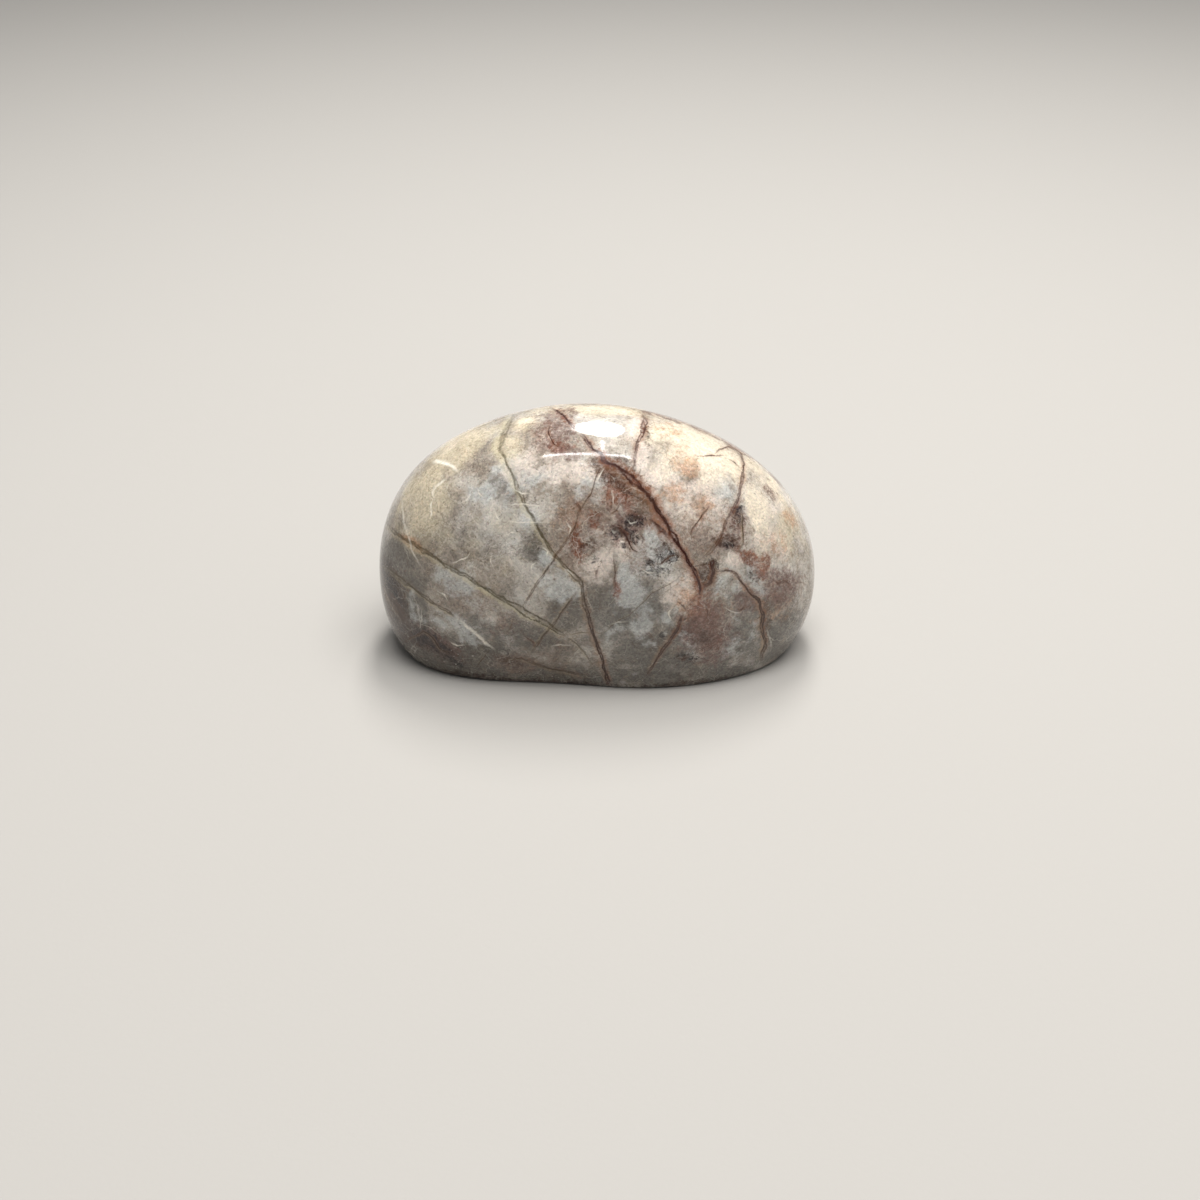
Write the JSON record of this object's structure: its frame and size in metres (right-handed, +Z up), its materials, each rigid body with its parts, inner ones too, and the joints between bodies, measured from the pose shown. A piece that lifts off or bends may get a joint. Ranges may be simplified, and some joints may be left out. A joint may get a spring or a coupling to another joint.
{
  "type": "quartz specimen",
  "caption": "Polished freeform of milky grey quartz with rust and olive healed fractures, rounded all over and ground flat underneath to stand for display.",
  "frame": {"origin": "on the resting face, under the middle of the stone's outline", "axes": "+X along the stone's length, to the right as it is shown; -Y out of the shown face; +Z up"},
  "size_m": [0.1104, 0.0598, 0.0635],
  "materials": {
    "polished_quartz": "polished to a high gloss, milky grey and cream with rust and olive veins"
  },
  "bodies": {
    "root": {"quartz_stone": "polished_quartz"}
  },
  "joints": []
}
